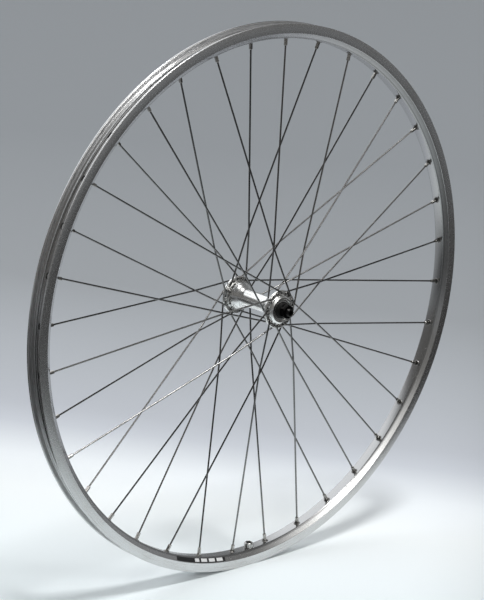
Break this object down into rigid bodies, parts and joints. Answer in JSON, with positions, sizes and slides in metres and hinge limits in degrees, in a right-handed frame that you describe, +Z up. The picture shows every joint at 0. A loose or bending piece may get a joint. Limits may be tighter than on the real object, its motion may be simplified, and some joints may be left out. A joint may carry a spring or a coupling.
{
  "type": "bicycle wheel",
  "caption": "Tyreless front bicycle wheel: satin double-wall rim, crossed wire spokes, polished flanged hub on a hollow axle that turns on ball bearings.",
  "frame": {"origin": "middle of the wheel, on the axle's line, halfway between the locknut faces", "axes": "+Y along the axle away from the viewer, +Z up, +X to the right; the valve is at the bottom"},
  "size_m": [0.634, 0.108, 0.634],
  "materials": {
    "rim_alloy": "satin, tracks turned",
    "hub_alloy": "polished",
    "collar_alloy": "satin",
    "spoke_steel": "drawn, bright",
    "nipple_plate": "nickel plated",
    "eyelet_steel": "pressed",
    "bearing_steel": "ground",
    "black_steel": "blackened",
    "axle_steel": "blackened, threaded",
    "seal_rubber": "matt",
    "label_film": "printed film"
  },
  "bodies": {
    "axle_set": {"axle": "axle_steel", "cone_near": "bearing_steel", "cone_far": "bearing_steel", "spacer_near": "black_steel", "spacer_far": "black_steel", "locknut_near": "black_steel", "locknut_far": "black_steel", "seal_near": "seal_rubber", "seal_far": "seal_rubber"},
    "wheel": {"rim": "rim_alloy", "eyelets": "eyelet_steel", "nipples": "nipple_plate", "hub_shell": "hub_alloy", "dust_cap_near": "hub_alloy", "dust_cap_far": "hub_alloy", "bearing_cup_near": "bearing_steel", "bearing_cup_far": "bearing_steel", "valve_collar": "collar_alloy", "rim_label": "label_film", "spoke_01": "spoke_steel", "spoke_02": "spoke_steel", "spoke_03": "spoke_steel", "spoke_04": "spoke_steel", "spoke_05": "spoke_steel", "spoke_06": "spoke_steel", "spoke_07": "spoke_steel", "spoke_08": "spoke_steel", "spoke_09": "spoke_steel", "spoke_10": "spoke_steel", "spoke_11": "spoke_steel", "spoke_12": "spoke_steel", "spoke_13": "spoke_steel", "spoke_14": "spoke_steel", "spoke_15": "spoke_steel", "spoke_16": "spoke_steel", "spoke_17": "spoke_steel", "spoke_18": "spoke_steel", "spoke_19": "spoke_steel", "spoke_20": "spoke_steel", "spoke_21": "spoke_steel", "spoke_22": "spoke_steel", "spoke_23": "spoke_steel", "spoke_24": "spoke_steel", "spoke_25": "spoke_steel", "spoke_26": "spoke_steel", "spoke_27": "spoke_steel", "spoke_28": "spoke_steel", "spoke_29": "spoke_steel", "spoke_30": "spoke_steel", "spoke_31": "spoke_steel", "spoke_32": "spoke_steel", "spoke_33": "spoke_steel", "spoke_34": "spoke_steel", "spoke_35": "spoke_steel", "spoke_36": "spoke_steel"},
    "ball_rings": {"balls": "bearing_steel"}
  },
  "joints": [
    {"name": "wheel_spin", "type": "hinge", "parent": "axle_set", "child": "wheel", "pos_m": [0, 0, 0], "axis": [0, 1, 0], "continuous": true},
    {"name": "ball_rings_spin", "type": "hinge", "parent": "axle_set", "child": "ball_rings", "pos_m": [0, 0, 0], "axis": [0, 1, 0], "continuous": true}
  ],
  "couplings": [
    {"joint": "ball_rings_spin", "follows": "wheel_spin", "ratio": 0.6053}
  ]
}
